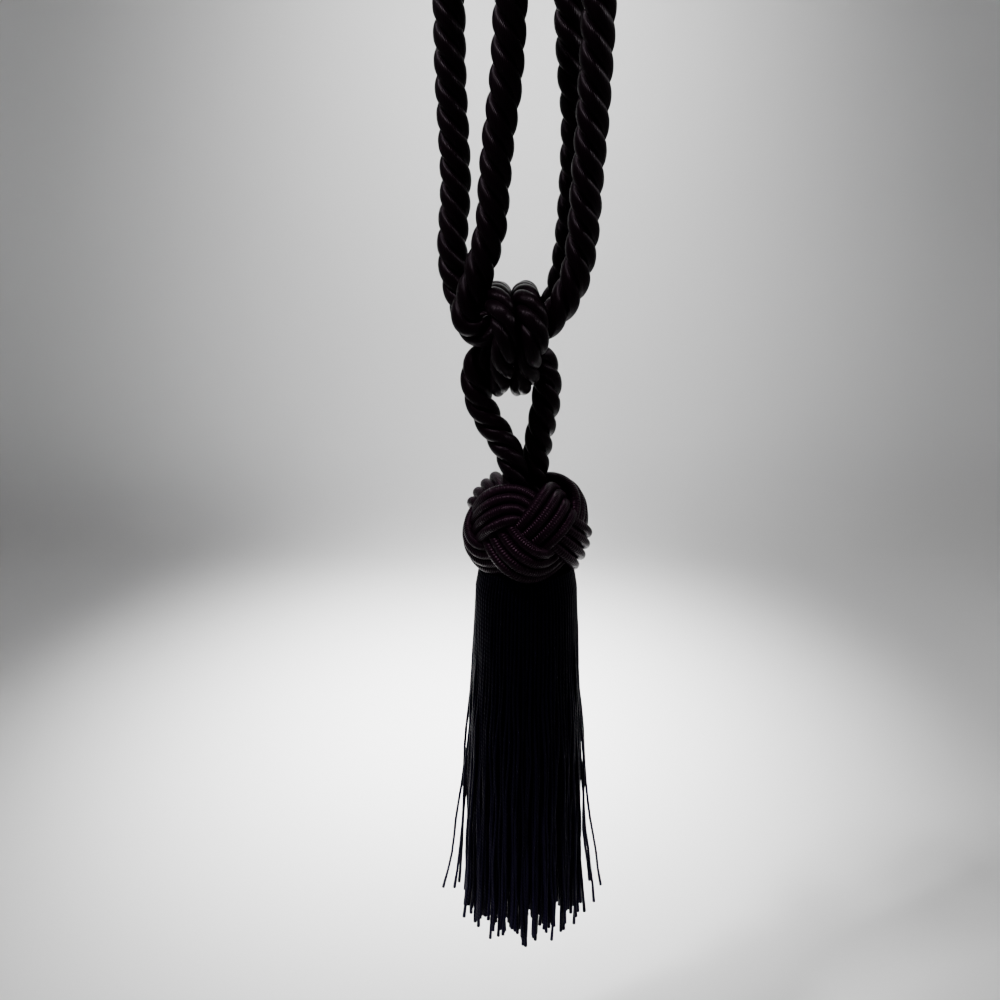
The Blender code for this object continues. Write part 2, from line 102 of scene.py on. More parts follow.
HANGER_ROUTE = (  # up the left leg, through the binding and down the right leg
    (-5.1, -3.95, -210.6), (-5.2, -4.0, -204.0), (-6.2, -4.0, -196.5), (-8.3, -3.0, -190.0),
    (-11.3, -1.7, -184.4), (-14.9, -0.7, -179.3), (-18.0, -0.2, -174.2), (-20.8, 0.0, -168.8),
    (-22.8, 0.0, -162.7), (-23.6, 0.0, -156.5), (-22.1, 0.0, -150.9), (-16.0, 0.0, -147.0),
    (-7.5, 0.0, -146.0), (0.0, 0.0, -146.4), (5.0, 0.0, -149.6), (7.3, 0.0, -155.8),
    (7.9, 0.0, -163.0), (7.3, 0.2, -169.7), (6.3, 0.9, -176.0), (5.2, 2.2, -183.0),
    (4.4, 3.6, -190.0), (3.8, 4.2, -197.0), (3.5, 4.0, -204.0), (3.5, 3.95, -210.6),
)

# The binding's two turns: x at the top and the bottom of each in mm.  Behind the bundle they
# change sides: the middle and half width of that place, in degrees up from the back.
TURN_TOP_X = (-12.0, -0.4)
TURN_BOTTOM_X = (-12.4, -3.6)
TURN_LEAN = (-0.8, 2.6)  # how far both lean over at the top and in front, in mm
CROSSING_MIDDLE = -18.0
CROSSING = 56.0

# The ropes press on each other, where the solids keep a gap, in mm: how far the turns lie to the
# left at the top and the bottom, and the loop's left leg to the right, with its height and reach.
TURN_PRESS = (-0.5, -0.7)
LEG_PRESS = 0.8
LEG_PRESS_Z = -157.0
LEG_PRESS_REACH = 22.0
LEG_PRESS_X = (8.0, 16.0)  # it sets in between these distances left of the middle

# The ball's weave and its core.
LEADS = 3.0  # times that a cord goes round the ball
BIGHTS = 5.0  # times that it swings up and down on its way
WEAVE_LENGTH = 0.52  # about the whole way of one cord
WEAVE_STEPS = 520
WEAVE_SIDES = 14
WELL_MOUTH = 0.0118  # radii of the well that the hanger loop's ends stand in
WELL_FOOT = 0.0113
WELL_DISH = 0.0020  # how far the well's floor rises from its middle to its foot
CORE_LIFT = 0.0020  # how far the core's flat lies above the solid's
CORE_STEPS = 24
CORE_SEGMENTS = 72

SKIRT_PROFILE = (  # depth under the ball and outer radius, in mm
    (0.0, 20.6), (3.0, 21.0), (9.0, 22.6), (25.0, 23.3), (50.0, 24.6), (73.0, 26.1), (96.0, 27.5),
    (120.0, 28.4), (165.0, 30.2), (205.0, 31.8),
)
STRAYS = (  # cords that stand away: angle in degrees, mm at the end
    (-93.0, 11.8), (-84.0, 6.4), (-101.0, 3.6), (-70.0, 2.8), (-60.0, 4.0), (90.0, 12.8),
    (82.0, 7.0), (99.0, 4.6), (66.0, 3.4), (55.0, 2.2), (150.0, 5.2), (-150.0, 4.4), (178.0, 3.0),
)

# How the skirt's cords lie, in metres.
RING_OUT = 0.0003  # how far the first ring stands out from the top radius
RING_SPACING = 0.0017
RING_LEAST = 0.0015
CORD_SPACING = 2.08  # from one cord of a ring to the next, in cord radii
ROOT_DEPTH = 0.0022  # how far the cords start inside the ball
LONG_CORDS = 0.12  # share of the cords that are cut close to the hem
END_OUT = 0.0005  # how far a cord's end may leave its place, outward and aside
END_ASIDE = 0.00055
CLUMP_OUT = 0.0009  # how far a whole clump may stand out or in
CLUMP_IN = 0.55  # share of the way that a clump draws its cords inward
CLUMP_TOGETHER = 0.62  # and together
WAVE_OUT = 0.00045  # how far a cord waves, outward and aside
WAVE_ASIDE = 0.0004
WAVE_SPEED = (70.0, 120.0)  # radians per metre
WOBBLE = 0.0006
END_SWELLING = 0.25  # how much thicker a cord is at its cut end
WOBBLE_GRAIN = (300.0, 300.0, 34.0)  # wobbles per metre
WOBBLE_APART = 60.0  # how far apart two cords' wobbles are taken
SWELLING_FROM = (0.965, 0.99)  # shares of a cord's length
SKIRT_LAYERS = (  # name, rings, points along a cord, its sides, with strays
    ("skirt_outer_cords", slice(0, 4), 18, 6, True),
    ("skirt_inner_cords", slice(4, None), 12, 5, False),
)

# Finishes.
YARN_HEIGHT = 0.00010  # heights of the bumps, in metres
WINDING_HEIGHT = 0.00026
PLY_HEIGHT = 0.00022
PLIES = 2.0
FIBRES_PER_METRE = 420.0
GIMP_ROUGHNESS = 0.32
CORD_ROUGHNESS = 0.42
CORD_SMOOTHEST = 0.36
FIBRE_GLOSS = 0.14  # how much roughness changes from fibre to fibre
DARKEST_TINT = 0.25  # the tint at which rope and gimp are darkest

# The stage: the camera, the sweep behind and the lamps.
CAMERA_PLACE = (-0.0122, -0.365, -0.080)
CAMERA_TILT = 70.0  # degrees up from straight down
CAMERA_VIEW = 60.0  # degrees from side to side
SENSOR = 36.0  # width in mm
SWEEP_FRONT = -1.6
SWEEP_TOP = 1.6
SWEEP_SIDE = 2.5
SWEEP_BEND = 0.10
SWEEP_STEPS = 12
LAMPS = (  # name, place, size, target and spread in degrees
    ("key_light", (-0.45, -0.25, 0.75), 0.08, (0.0, 0.0, -0.20), 70.0),
    ("floor_light", (-0.05, 0.39, 0.38), 0.30, (-0.05, 0.42, -0.6), 48.0),
    ("side_light", (0.75, 0.0, 0.30), 0.08, (0.0, 0.0, -0.02), 50.0),
    ("wall_light", (0.0, 0.25, 0.60), 0.4, (0.0, 0.90, 0.02), 60.0),
)


# Node trees

def math_method(operation):
    """A method of Wire that adds a Math node."""
    def method(self, *others):
        return self.graph.wire("ShaderNodeMath", enumerate((self, *others)), operation=operation)
    return method


class Wire:
    """A socket in a node tree that can stand in an expression."""

    def __init__(self, graph, socket):
        self.graph = graph
        self.socket = socket

    __add__ = __radd__ = math_method("ADD")
    __sub__ = math_method("SUBTRACT")
    __mul__ = math_method("MULTIPLY")
    __truediv__ = math_method("DIVIDE")
    sin = math_method("SINE")
    cos = math_method("COSINE")
    part = math_method("FRACT")
    whole = math_method("FLOOR")
    at_least = math_method("MAXIMUM")
    at_most = math_method("MINIMUM")

    def __rsub__(self, other):
        return self.graph.wire("ShaderNodeMath", {0: other, 1: self}, operation="SUBTRACT")

    def __neg__(self):
        return self * -1.0

    def hump(self):
        """A round ridge from 0 to 1 and back for each whole step of the value."""
        across = self.part() * 2.0 - 1.0
        return 1.0 - across * across

    def ease(self, low, high):
        """A smooth step from 0 at low to 1 at high."""
        values = {"Value": self, "From Min": low, "From Max": high}
        return self.graph.wire("ShaderNodeMapRange", values, interpolation_type="SMOOTHSTEP")


class Graph:
    """A node tree and the methods that fill it."""

    def __init__(self, tree):
        self.tree = tree

    def node(self, kind, values=(), **settings):
        """Add a node: its settings first, then its sockets' values or links."""
        made = self.tree.nodes.new(kind)
        for name, setting in settings.items():
            setattr(made, name, setting)
        for key, value in dict(values).items():
            socket = made.inputs[key]
            if isinstance(value, Wire):
                self.link(value, socket)
            else:
                socket.default_value = value
        return made

    def link(self, wire, socket):
        """Link a wire to a node's input."""
        self.tree.links.new(wire.socket, socket)

    def wire(self, kind, values=(), output=0, **settings):
        """Add a node and take one of its outputs."""
        return Wire(self, self.node(kind, values, **settings).outputs[output])

    def vector(self, operation, *values):
        """A Vector Math node."""
        return self.wire("ShaderNodeVectorMath", enumerate(values), operation=operation)

    def scaled(self, vector, factor):
        """A vector times a number."""
        return self.wire("ShaderNodeVectorMath", {0: vector, "Scale": factor}, operation="SCALE")

    def joined(self, x, y, z):
        """A vector of three numbers."""
        return self.wire("ShaderNodeCombineXYZ", {"X": x, "Y": y, "Z": z})

    def split(self, vector):
        """A vector's three numbers."""
        node = self.node("ShaderNodeSeparateXYZ", {"Vector": vector})
        return [Wire(self, socket) for socket in node.outputs]

    def blend(self, share, first, second):
        """A mix of two colours."""
        values = {0: share, 6: first, 7: second}
        return self.wire("ShaderNodeMix", values, 2, data_type="RGBA")

    def noise(self, place, scale, detail, output=0):
        """Noise about 0.5 at a place."""
        values = {"Vector": place, "Scale": scale, "Detail": detail}
        return self.wire("ShaderNodeTexNoise", values, output)

    def patches(self, scale, detail):
        """Noise about 0.5 over the object."""
        return self.noise(self.wire("ShaderNodeTexCoord", (), "Object"), scale, detail)

    def chance(self, value):
        """A random number from 0 to 1 for each whole step of the value."""
        return self.wire("ShaderNodeTexWhiteNoise", {"W": value.whole()}, noise_dimensions="1D")

    def lay(self):
        """Share round a cord and metres along it, from its UV map."""
        return self.split(self.wire("ShaderNodeUVMap", uv_map="lay"))[:2]

    def captured(self, geometry, name, value):
        """Geometry that keeps a number at each point, and the number's wire."""
        node = self.node("GeometryNodeCaptureAttribute", {"Geometry": geometry})
        node.capture_items.new("FLOAT", name)
        self.link(value, node.inputs[name])
        return Wire(self, node.outputs["Geometry"]), Wire(self, node.outputs[name])


# Finishes

def rgba(colour):
    """A colour with full alpha."""
    return (colour[0], colour[1], colour[2], 1.0)


def new_finish(name, colour, roughness, **values):
    """A material, its graph and its Principled shader with the values that never vary."""
    finish = bpy.data.materials.new(name)
    finish.use_nodes = True
    finish.diffuse_color = rgba(colour)
    graph = Graph(finish.node_tree)
    shader = finish.node_tree.nodes["Principled BSDF"]
    shader.inputs["Base Color"].default_value = rgba(colour)
    shader.inputs["Roughness"].default_value = roughness
    for key, value in values.items():
        shader.inputs[key.replace("_", " ")].default_value = value
    return finish, graph, shader


def finish_links(graph, shader, colour, roughness, height, depth, strength):
    """Link what varies over the surface."""
    bump = graph.wire("ShaderNodeBump",
                      {"Height": height, "Distance": depth, "Strength": strength})
    for key, wire in (("Base Color", colour), ("Roughness", roughness), ("Normal", bump)):
        if wire is not None:
            graph.link(wire, shader.inputs[key])


def shade(graph, tint, colour, dark, light):
    """The colour at a tint from 0 to 1, between dark and light shares of itself."""
    share = tint.at_least(0.0).at_most(1.0)
    return graph.blend(share, rgba(colour * dark), rgba(colour * light))


def satin_finish(name, settings, roughness, ior, gloss):
    """A cord's material with a tinted sheen, its graph, its shader, and its lay."""
    made = new_finish(name, settings.colour, roughness, IOR=ior, Specular_IOR_Level=gloss,
                      Specular_Tint=rgba(settings.sheen))
    return *made, *made[1].lay()


def rope_satin(settings):
    """Satin rope: yarns that run along the rope and cross each strand."""
    finish, graph, shader, around, along = satin_finish(
        "rope_satin", settings, settings.roughness, 1.35, 0.08)
    yarn = (around - along / settings.pitch) * float(settings.yarns)
    ridge = yarn.hump()
    number = graph.chance(yarn)
    fibre = graph.noise(graph.joined(yarn * 3.0, along * FIBRES_PER_METRE, 0.0), 1.0, 3.0)
    # Painted highlight and painted shade: each yarn's crest is coloured lighter and the groove
    # between yarns darker; the fibre noise and yarn numbers add tone that differs at random.
    light = ridge * 0.45 + fibre * 0.35 + number * 0.20
    tint = light * 0.7 + graph.patches(55.0, 3.0) * 0.6 - DARKEST_TINT
    colour = shade(graph, tint, settings.colour, 0.55, 1.75)
    roughness = settings.roughness - FIBRE_GLOSS / 2 + fibre * FIBRE_GLOSS
    finish_links(graph, shader, colour, roughness, ridge * 0.8 + fibre * 0.35, YARN_HEIGHT, 1.0)
    return finish


def gimp_cord(settings):
    """Gimp: a cord wound with fine shiny thread, whose turns cross it."""
    finish, graph, shader, around, along = satin_finish(
        "wound_gimp", settings, GIMP_ROUGHNESS, 1.35, 0.14)
    turn = along / settings.rib + around
    ridge = turn.hump()
    number = graph.chance(turn)
    fibre = graph.noise(graph.joined(turn * 4.0, around * 9.0, 0.0), 1.0, 2.0)
    # Painted highlight and painted shade: each winding's crest is coloured lighter and its groove
    # darker; fibre, thread numbers and patches add tone that differs at random.
    tint = ridge * 0.40 + fibre * 0.25 + number * 0.25 + graph.patches(90.0, 2.0) * 0.45
    colour = shade(graph, tint - DARKEST_TINT, settings.colour, 0.45, 1.8)
    roughness = GIMP_ROUGHNESS - FIBRE_GLOSS / 2 + fibre * FIBRE_GLOSS
    finish_links(graph, shader, colour, roughness, ridge * 0.85 + fibre * 0.2, WINDING_HEIGHT, 1.0)
    return finish


def skirt_cord(settings):
    """Fine twisted cord of the skirt, with painted shade: darkest under the ball and lighter toward
    its end, with a painted highlight on each ply's crest.
    """
    finish, graph, shader, around, along = satin_finish(
        "skirt_cord", settings, CORD_ROUGHNESS, 1.3, 0.05)
    ridge = (along / settings.ply + around * PLIES).hump()
    patch = graph.patches(40.0, 2.0)
    number = graph.wire("ShaderNodeAttribute", (), "Fac", attribute_name="strand")
    # Painted shade: the tint fades to dark toward the ball and grows lighter toward the hem; the
    # ply ridge adds a painted highlight on each crest.
    down = (along / settings.length).at_least(0.0).at_most(1.0)
    tint = (ridge * 0.30 + number * 0.55 + patch * 0.40) * (down * down * 0.92 + 0.08)
    colour = shade(graph, tint, settings.colour, 0.10, 1.9)
    roughness = CORD_SMOOTHEST + patch * FIBRE_GLOSS
    finish_links(graph, shader, colour, roughness, ridge, PLY_HEIGHT, 0.8)
    return finish


def plain_finish(name, colour, roughness, scale, depth):
    """A matt surface with faint mottling."""
    finish, graph, shader = new_finish(name, colour, roughness)
    grain = graph.patches(scale, 3.0)
    mottled = graph.blend(grain, rgba(colour * 0.96), rgba(colour))
    finish_links(graph, shader, mottled, None, grain, depth, 0.3)
    return finish


# Lines and rope

def in_metres(route):
    """A route given in mm as vectors in metres."""
    return [Vector(point) * MM for point in route]


def smooth_line(points, closed, per_span=12):
    """A centripetal Catmull-Rom curve through points, as a dense list of vectors."""
    if closed:
        ends = points[-1:] + points + points[:2]
    else:
        ends = [2 * points[0] - points[1], *points, 2 * points[-1] - points[-2]]
    line = []
    for p in zip(ends, ends[1:], ends[2:], ends[3:]):
        t = [0.0]
        for a, b in zip(p, p[1:]):
            t.append(t[-1] + math.sqrt((b - a).length))
        for k in range(per_span):
            u = t[1] + (t[2] - t[1]) * k / per_span
            row = p
            for apart in (1, 2):
                row = [row[i].lerp(row[i + 1], (u - t[i]) / (t[i + apart] - t[i]))
                       for i in range(4 - apart)]
            line.append(row[0].lerp(row[1], (u - t[1]) / (t[2] - t[1])))
    if not closed:
        line.append(points[-1].copy())
    return line


def reach_along(line):
    """Length of a polyline up to each of its points."""
    reach = [0.0]
    for a, b in zip(line, line[1:]):
        reach.append(reach[-1] + (b - a).length)
    return reach


def line_length(line):
    """Length of a polyline."""
    return reach_along(line)[-1]


def even_points(path, closed, count):
    """Points spaced evenly along a line; a closed one's end isn't repeated."""
    reach = reach_along(path)
    goals = np.linspace(0.0, reach[-1], count, endpoint=not closed)
    return [Vector(point) for point in zip(*(np.interp(goals, reach, axis) for axis in zip(*path)))]


def frames_along(points, closed):
    """A tangent and a side vector at each point, turning as little as it can."""
    first, last = points[:1], points[-1:]
    ends = last + points + first if closed else first + points + last
    tangents = [(after - before).normalized() for before, after in zip(ends, ends[2:])]
    sides = [tangents[0].orthogonal().normalized()]
    for before, tangent in zip(tangents, tangents[1:]):
        side = before.rotation_difference(tangent) @ sides[-1]
        sides.append((side - tangent * side.dot(tangent)).normalized())
    slip = 0.0
    if closed:
        side = tangents[-1].rotation_difference(tangents[0]) @ sides[-1]
        slip = math.atan2(side.cross(sides[0]).dot(tangents[0]), side.dot(sides[0]))
    return tangents, sides, slip


def lobe_radius(angle):
    """Distance from the rope's centre to a strand's surface, at an angle from its crest."""
    x = math.cos(angle)
    y = math.sin(angle)
    a = (x / LOBE_DEPTH) ** 2 + (y / LOBE_WIDTH) ** 2
    b = -2.0 * x * LOBE_OFFSET / LOBE_DEPTH ** 2
    c = (LOBE_OFFSET / LOBE_DEPTH) ** 2 - 1.0
    return (-b + math.sqrt(b * b - 4.0 * a * c)) / (2.0 * a)


def rope_section():
    """Angle, radius and share of the way round of the section's points."""
    lobe = []
    for k in range(POINTS_ON_LOBE + 1):
        angle = math.tau / STRANDS_IN_ROPE * (k / POINTS_ON_LOBE - 0.5)
        lobe.append((angle, lobe_radius(angle)))
    reach = reach_along([Vector((r * math.cos(a), r * math.sin(a), 0.0)) for a, r in lobe])
    corners = []
    for strand in range(STRANDS_IN_ROPE):
        crest = math.tau * strand / STRANDS_IN_ROPE
        for (angle, radius), way in zip(lobe[:-1], reach):
            corners.append((crest + angle, radius, (strand + way / reach[-1]) / STRANDS_IN_ROPE))
    return corners


def rope_mesh(name, line, closed, diameter, pitch, scale_at, step=0.00095):
    """A twisted rope with the UV map "lay": share round it, and metres along it."""
    path = line + line[:1] if closed else line
    length = line_length(path)
    turns = length / pitch
    if closed:
        turns = round(turns * STRANDS_IN_ROPE) / STRANDS_IN_ROPE
    count = round(length / step)
    points = even_points(path, closed, count)
    tangents, sides, slip = frames_along(points, closed)
    corners = rope_section()
    size = len(corners)
    bm = bmesh.new()
    lay = bm.loops.layers.uv.new("lay")
    rings = []
    for i, point in enumerate(points):
        along = i / count if closed else i / (count - 1)
        scale = scale_at(along) * diameter / 2
        across = tangents[i].cross(sides[i])
        twist = slip * along - math.tau * turns * along
        ring = []
        for angle, reach, _ in corners:
            a = angle + twist
            offset = sides[i] * math.cos(a) + across * math.sin(a)
            ring.append(bm.verts.new(point + offset * scale * reach))
        rings.append((ring, along * turns * pitch))

    def wall(first, second, shift=0):
        low, start = first
        high, end = second
        for k in range(size):
            n = (k + 1) % size
            face = bm.faces.new((low[k], low[n], high[(n - shift) % size],
                                 high[(k - shift) % size]))
            u = corners[k][2]
            v = corners[n][2] if n else 1.0
            for loop, place in zip(face.loops, ((u, start), (v, start), (v, end), (u, end))):
                loop[lay].uv = place

    for first, second in zip(rings, rings[1:]):
        wall(first, second)
    if closed:
        # The last ring meets the first one, some whole strands further round.
        shift = round(turns * STRANDS_IN_ROPE) % STRANDS_IN_ROPE * POINTS_ON_LOBE
        wall(rings[-1], (rings[0][0], turns * pitch), shift)
    else:
        bm.faces.new(list(reversed(rings[0][0])))
        bm.faces.new(rings[-1][0])
    return mesh_from(bm, name)


def mesh_from(bm, name, crease=50):
    """Finish a bmesh: faces out, smooth but for its sharp edges."""
    bmesh.ops.recalc_face_normals(bm, faces=bm.faces)
    mesh = bpy.data.meshes.new(name)
    bm.to_mesh(mesh)
    bm.free()
    mesh.shade_smooth()
    mesh.set_sharp_from_angle(angle=math.radians(crease))
    return mesh


def add_piece(mesh, finish):
    """Link a mesh as an object of its own name with its finish."""
    piece = bpy.data.objects.new(mesh.name, mesh)
    bpy.context.scene.collection.objects.link(piece)
    mesh.materials.clear()
    mesh.materials.append(finish)
    return piece


def stand_for(piece, node):
    """Ride on the tieback and take the place of its solid."""
    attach(piece, BODY)
    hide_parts(node)


def lay_rope(settings, node, line, path, diameter, scale_at):
    """Lay a rope that stands for one solid; it is closed where its path outlasts its line."""
    closed = len(path) > len(line)
    mesh = rope_mesh(node + "_skin", line, closed, diameter, settings.pitch, scale_at)
    finish = bpy.data.materials.get("rope_satin") or rope_satin(settings)
    piece = add_piece(mesh, finish)
    stand_for(piece, node)
    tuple(path[0])
    line_length(path)


def eye_bight(start, end, inner=5):
    """Points of the half circle that takes a strand over the hook, from start to end."""
    middle = (start + end) / 2
    half = (end - start) / 2
    half.z = 0.0
    radius = half.length
    centre = Vector((middle.x, middle.y, EYE_TOP_Z - radius))
    points = []
    for k in range(inner + 2):
        angle = math.pi * k / (inner + 1)
        points.append(centre - half * math.cos(angle) + Vector((0, 0, radius * math.sin(angle))))
    return points


def embrace_line():
    """The doubled ring: down the left front, up the right front, and back behind them."""
    left_front, right_front, right_back, left_back = (
        in_metres(route) for route in (LEFT_FRONT, RIGHT_FRONT, RIGHT_BACK, LEFT_BACK))
    front_bend, back_bend = ([Vector((BEND_X + x, y, BEND_Z)) for x in (-reach, reach)]
                             for reach, y in ((BEND_REACH, -BEND_SPREAD),
                                              (-BEND_REACH, BEND_SPREAD)))
    ring = left_front + front_bend + right_front + eye_bight(right_front[-1], right_back[0])
    ring += right_back + back_bend + left_back + eye_bight(left_back[-1], left_front[0])
    return smooth_line(ring, closed=True)


def path_from_knot(line):
    """A closed line opened where it runs nearest the middle of the bend, at the back."""
    middle = Vector((BEND_X, BEND_SPREAD, BEND_Z))
    start = min(range(len(line)), key=lambda k: (line[k] - middle).length)
    return line[start:] + line[:start + 1]


def binding_section(angle, rope, cord):
    """The binding's centre round the three ropes, its outward normal and its scale.

    The angle runs from the back over the top and down the front.
    """
    normal = Vector((0.0, math.cos(angle), math.sin(angle)))
    low = max(0.0, -math.sin(angle)) ** 2
    scale = UNIT.lerp(Vector((BINDING_WIDTH, BINDING_DEPTH, BINDING_DEPTH)), low)
    nestled = math.sqrt((rope + GAP) ** 2 - BEND_SPREAD ** 2)
    cores = (Vector((0.0, BEND_SPREAD, BEND_Z)),
             Vector((0.0, -BEND_SPREAD, BEND_Z)),
             Vector((0.0, 0.0, BEND_Z - nestled)))
    core = max(cores, key=lambda c: c.dot(normal))
    reach = (rope + cord * scale.z) / 2 + GAP
    return core + normal * reach, normal, scale


def binding_turn(rope, cord, steps=144, step_length=0.0005):
    """One turn round the bundle at even steps, as rows of centre, normal and scale."""
    rows = [binding_section(math.tau * k / steps, rope, cord) for k in range(steps)]
    even = []
    for (p, n, s), (q, m, t) in zip(rows, rows[1:] + rows[:1]):
        pieces = max(1, round((q - p).length / step_length))
        for k in range(pieces):
            u = k / pieces
            even.append((p.lerp(q, u), n.lerp(m, u).normalized(), s.lerp(t, u)))
    return even


def binding_rows(rope, cord, per_turn=90):
    """Centres and scales of both turns, a closed line that crosses itself once."""
    table = binding_turn(rope, cord)
    middle = CROSSING_MIDDLE / 360.0
    rows = []
    for turn in (0, 1):
        for k in range(per_turn):
            share = (k / per_turn + middle) % 1.0
            point, normal, scale = table[int(share * len(table))]
            low = max(0.0, -normal.z) ** 2
            xs = [top + (bottom - top) * low for top, bottom in zip(TURN_TOP_X, TURN_BOTTOM_X)]
            centre = sum(xs) / 2
            past = k / per_turn if k < per_turn / 2 else k / per_turn - 1.0
            lean = min(1.0, abs(past) * 360.0 / CROSSING) * math.pi / 2
            x = centre + (xs[turn] - centre) * math.sin(lean)
            x += TURN_LEAN[0] * max(0.0, normal.z) ** 2 + TURN_LEAN[1] * max(0.0, -normal.y) ** 2
            x += TURN_PRESS[0] + (TURN_PRESS[1] - TURN_PRESS[0]) * low
            outside = (turn == 0) == (past >= 0)
            lift = (cord + GAP) * math.cos(lean) if outside else 0.0
            rows.append((Vector((x * MM, 0, 0)) + point + normal * lift, scale))
    return rows


def pressed_leg(line):
    """The hanger loop's line with its left leg against the binding's turns."""
    pressed = []
    for point in line:
        height = abs(point.z / MM - LEG_PRESS_Z)
        share = (1.0 - eased(height, 0.0, LEG_PRESS_REACH)) * eased(-point.x / MM, *LEG_PRESS_X)
        pressed.append(point + Vector((LEG_PRESS * share * MM, 0.0, 0.0)))
    return pressed


# Shapes that follow a rule

class ShapeGraph(Graph):
    """A Geometry Nodes tree and its named inputs, each with its default."""

    def __init__(self, name):
        super().__init__(bpy.data.node_groups.new(name, "GeometryNodeTree"))
        for way in ("INPUT", "OUTPUT"):
            self.tree.interface.new_socket("Geometry", in_out=way,
                                           socket_type="NodeSocketGeometry")
        self.source = self.node("NodeGroupInput")

    def circle(self, steps, radius):
        """A circle as a curve."""
        return self.wire("GeometryNodeCurvePrimitiveCircle",
                         {"Resolution": steps, "Radius": radius}, mode="RADIUS")

    def number(self, name, default):
        """Add an input and take its wire."""
        kind = "NodeSocketInt" if isinstance(default, int) else "NodeSocketFloat"
        made = self.tree.interface.new_socket(name, in_out="INPUT", socket_type=kind)
        made.default_value = default
        return Wire(self, self.source.outputs[name])

    def end(self, shape, finish):
        """Realize the instances, set their material and end the tree."""
        plain = self.wire("GeometryNodeRealizeInstances", {"Geometry": shape})
        done = self.wire("GeometryNodeSetMaterial", {"Geometry": plain, "Material": finish})
        self.node("NodeGroupOutput", {"Geometry": done})
        return self.tree


def run_nodes(name, tree, mesh):
    """Evaluate a tree on a mesh, and keep the result as a plain mesh object."""
    piece = bpy.data.objects.new(name, mesh)
    bpy.context.scene.collection.objects.link(piece)
    modifier = piece.modifiers.new("shape", "NODES")
    modifier.node_group = tree
    graph = bpy.context.evaluated_depsgraph_get()
    made = bpy.data.meshes.new_from_object(piece.evaluated_get(graph),
                                           preserve_all_data_layers=True, depsgraph=graph)
    piece.modifiers.remove(modifier)
    piece.data = made
    made.name = name
    if not made.polygons:
        raise RuntimeError(f"{name}: the tree made no faces")
    return piece


def tube_on(graph, curve, radius, sides, scale, along):
    """A tube round curves with the UV map "lay": share round it, and metres along it."""
    line, along = graph.captured(curve, "along", along)
    circle = graph.circle(sides, radius)
    index = graph.wire("GeometryNodeInputIndex")
    profile, around = graph.captured(circle, "around", index / sides)
    tube = graph.wire("GeometryNodeCurveToMesh",
                      {"Curve": line, "Profile Curve": profile, "Scale": scale, "Fill Caps": True})
    place = graph.joined(around, along, 0.0)
    named = graph.wire("GeometryNodeStoreNamedAttribute",
                       {"Geometry": tube, "Name": "lay", "Value": place},
                       data_type="FLOAT2", domain="CORNER")
    return graph.wire("GeometryNodeSetShadeSmooth", {"Geometry": named})


def close_lay(mesh, whole_length=None):
    """Let the lay run on across the faces where it starts again."""
    layer = mesh.uv_layers["lay"].uv
    places = np.empty(len(mesh.loops) * 2, dtype=np.float32)
    layer.foreach_get("vector", places)
    places = places.reshape(-1, 2)
    walls = np.array([face.loop_start for face in mesh.polygons if face.loop_total == 4])
    corners = walls[:, None] + np.arange(4)
    for axis, length in ((0, 1.0), (1, whole_length)):
        if length:
            value = places[corners, axis]
            split = value.max(axis=1) - value.min(axis=1) > length / 2
            low = split[:, None] & (value < length / 2)
            places[corners[low], axis] += length
    layer.foreach_set("vector", places.ravel())


def weave_tree(finish, ball, whole_length):
    """Cords of a Turk's head knot on a ball: their band swings about the ball's waist."""
    graph = ShapeGraph("woven_cords")
    radius = graph.number("Ball Radius", ball.radius)
    cord = graph.number("Cord Radius", ball.cord)
    pitch = graph.number("Cord Pitch", ball.pitch)
    passes = graph.number("Passes", ball.passes)
    leads = graph.number("Leads", LEADS)
    bights = graph.number("Bights", BIGHTS)
    middle_latitude = graph.number("Middle Latitude", ball.middle)
    swing = graph.number("Swing", ball.swing)
    start = graph.number("Start Angle", ball.start)
    depth = graph.number("Weave Depth", ball.depth)
    height = graph.number("Ball Height", BALL_Z)
    length = graph.number("Cord Length", whole_length)
    ring = graph.circle(WEAVE_STEPS, 1.0)
    cords = graph.node("GeometryNodeDuplicateElements", {"Geometry": ring, "Amount": passes},
                       domain="SPLINE")
    copies, number = graph.captured(Wire(graph, cords.outputs["Geometry"]), "number",
                                    Wire(graph, cords.outputs["Duplicate Index"]))
    step = graph.wire("GeometryNodeSplineParameter", (), "Index")
    share = step / float(WEAVE_STEPS)
    turn = share * math.tau
    latitude = middle_latitude + swing * (turn * bights).cos()
    azimuth = turn * leads + start
    climb = -(swing * bights) * (turn * bights).sin()
    normal = graph.joined(latitude.cos() * azimuth.sin(), -(latitude.cos() * azimuth.cos()),
                          latitude.sin())
    ahead = graph.joined(
        leads * latitude.cos() * azimuth.cos() - climb * latitude.sin() * azimuth.sin(),
        leads * latitude.cos() * azimuth.sin() + climb * latitude.sin() * azimuth.cos(),
        climb * latitude.cos())
    side = graph.vector("CROSS_PRODUCT", normal, graph.vector("NORMALIZE", ahead))
    middle = radius - cord - depth
    rise = middle - depth * (turn * bights * 2.0).sin()
    offset = (number - (passes - 1.0) / 2.0) * pitch / middle
    way = graph.vector("ADD", graph.scaled(normal, offset.cos()), graph.scaled(side, offset.sin()))
    place = graph.vector("ADD", graph.scaled(way, rise), graph.joined(0.0, 0.0, height))
    laid = graph.wire("GeometryNodeSetPosition", {"Geometry": copies, "Position": place})
    shape = tube_on(graph, laid, cord, WEAVE_SIDES, 1.0, share * length)
    return graph.end(shape, finish)


